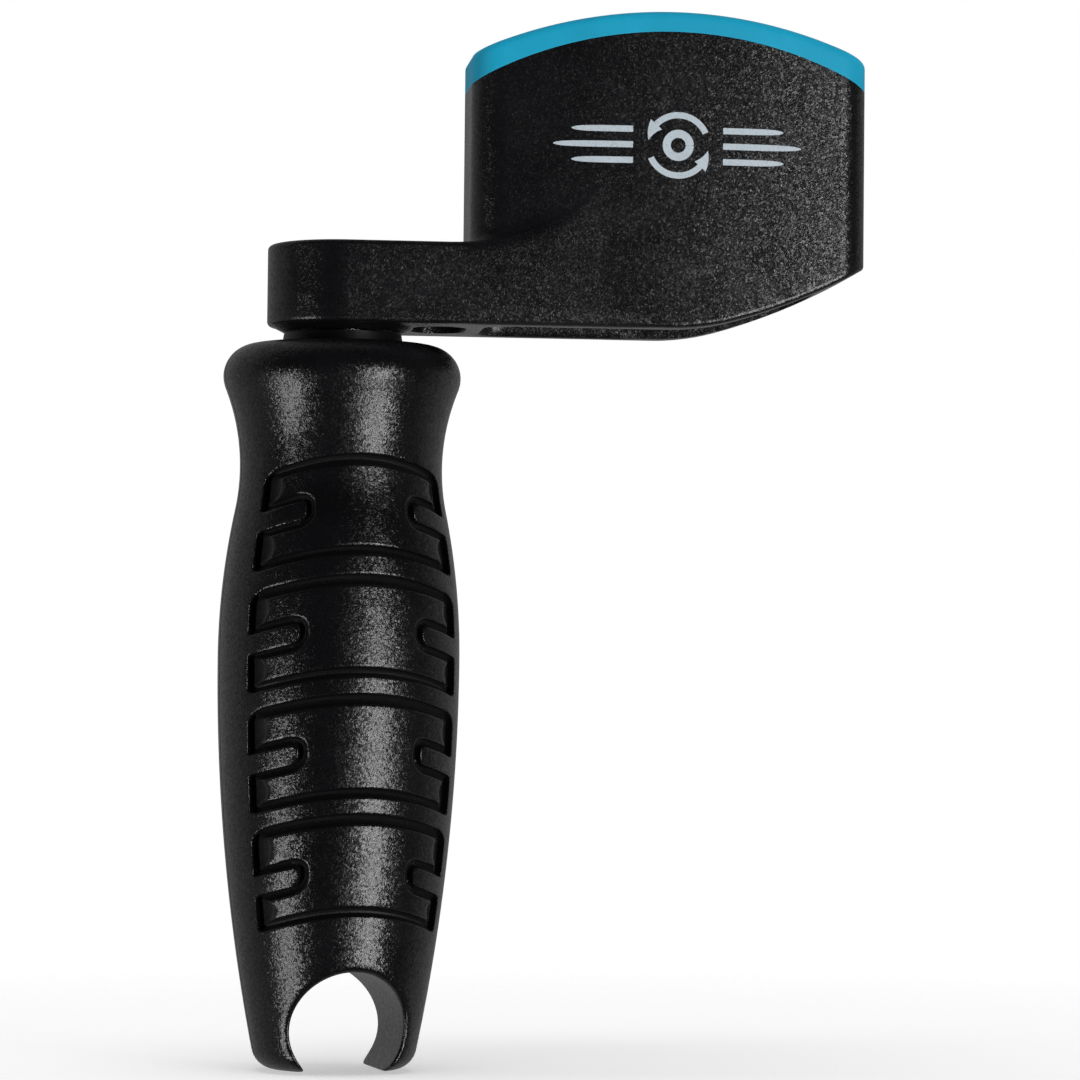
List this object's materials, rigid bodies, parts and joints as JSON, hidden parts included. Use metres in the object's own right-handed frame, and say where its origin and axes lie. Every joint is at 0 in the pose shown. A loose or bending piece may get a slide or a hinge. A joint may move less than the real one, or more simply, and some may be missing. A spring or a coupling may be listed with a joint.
{
  "type": "string winder",
  "caption": "Hand-cranked string winder: a rubber-lined tuner cup on a flat offset arm, with a contoured grip that spins on ball bearings and a bridge-pin notch in its foot.",
  "frame": {"origin": "middle of the tuner cup's mouth, at the crown of its rim", "axes": "+Z out of the cup along the winding axis, +X from the grip's axis towards the cup, -Y is the front"},
  "size_m": [0.0639, 0.024, 0.105],
  "materials": {
    "crank_plastic": "black ABS, fine spark-eroded grain with a satin sheen",
    "liner_rubber": "soft blue rubber, matt",
    "handle_plastic": "black ABS, faint orange-peel grain, satin",
    "collar_plastic": "black acetal, smooth",
    "print_ink": "pad-printed pale grey-blue ink, matt",
    "axle_steel": "turned and ground",
    "clip_steel": "blackened spring steel",
    "spacer_aluminium": "turned",
    "bearing_steel": "ground and polished",
    "shield_steel": "pressed sheet",
    "cage_nylon": "natural nylon"
  },
  "bodies": {
    "crank": {"crank_arm": "crank_plastic", "cup_liner": "liner_rubber", "axle": "axle_steel", "top_spacer": "spacer_aluminium", "upper_bearing_inner_ring": "bearing_steel", "bearing_spacer": "spacer_aluminium", "lower_bearing_inner_ring": "bearing_steel", "end_washer": "axle_steel", "retaining_clip": "clip_steel"},
    "handle": {"handle_front_shell": "handle_plastic", "handle_back_shell": "handle_plastic", "handle_collar": "collar_plastic", "upper_bearing_outer_ring": "bearing_steel", "upper_bearing_top_shield": "shield_steel", "upper_bearing_bottom_shield": "shield_steel", "lower_bearing_outer_ring": "bearing_steel", "lower_bearing_top_shield": "shield_steel", "lower_bearing_bottom_shield": "shield_steel"},
    "upper_cage": {"upper_bearing_cage": "cage_nylon", "upper_bearing_balls": "bearing_steel"},
    "lower_cage": {"lower_bearing_cage": "cage_nylon", "lower_bearing_balls": "bearing_steel"}
  },
  "joints": [
    {"name": "handle_spin", "type": "hinge", "parent": "crank", "child": "handle", "pos_m": [-0.0321, 0, -0.05], "axis": [0, 0, 1], "continuous": true},
    {"name": "upper_cage_spin", "type": "hinge", "parent": "crank", "child": "upper_cage", "pos_m": [-0.0321, 0, -0.05], "axis": [0, 0, 1], "continuous": true},
    {"name": "lower_cage_spin", "type": "hinge", "parent": "crank", "child": "lower_cage", "pos_m": [-0.0321, 0, -0.05], "axis": [0, 0, 1], "continuous": true}
  ],
  "couplings": [
    {"joint": "upper_cage_spin", "follows": "handle_spin", "ratio": 0.60587},
    {"joint": "lower_cage_spin", "follows": "handle_spin", "ratio": 0.60587}
  ]
}
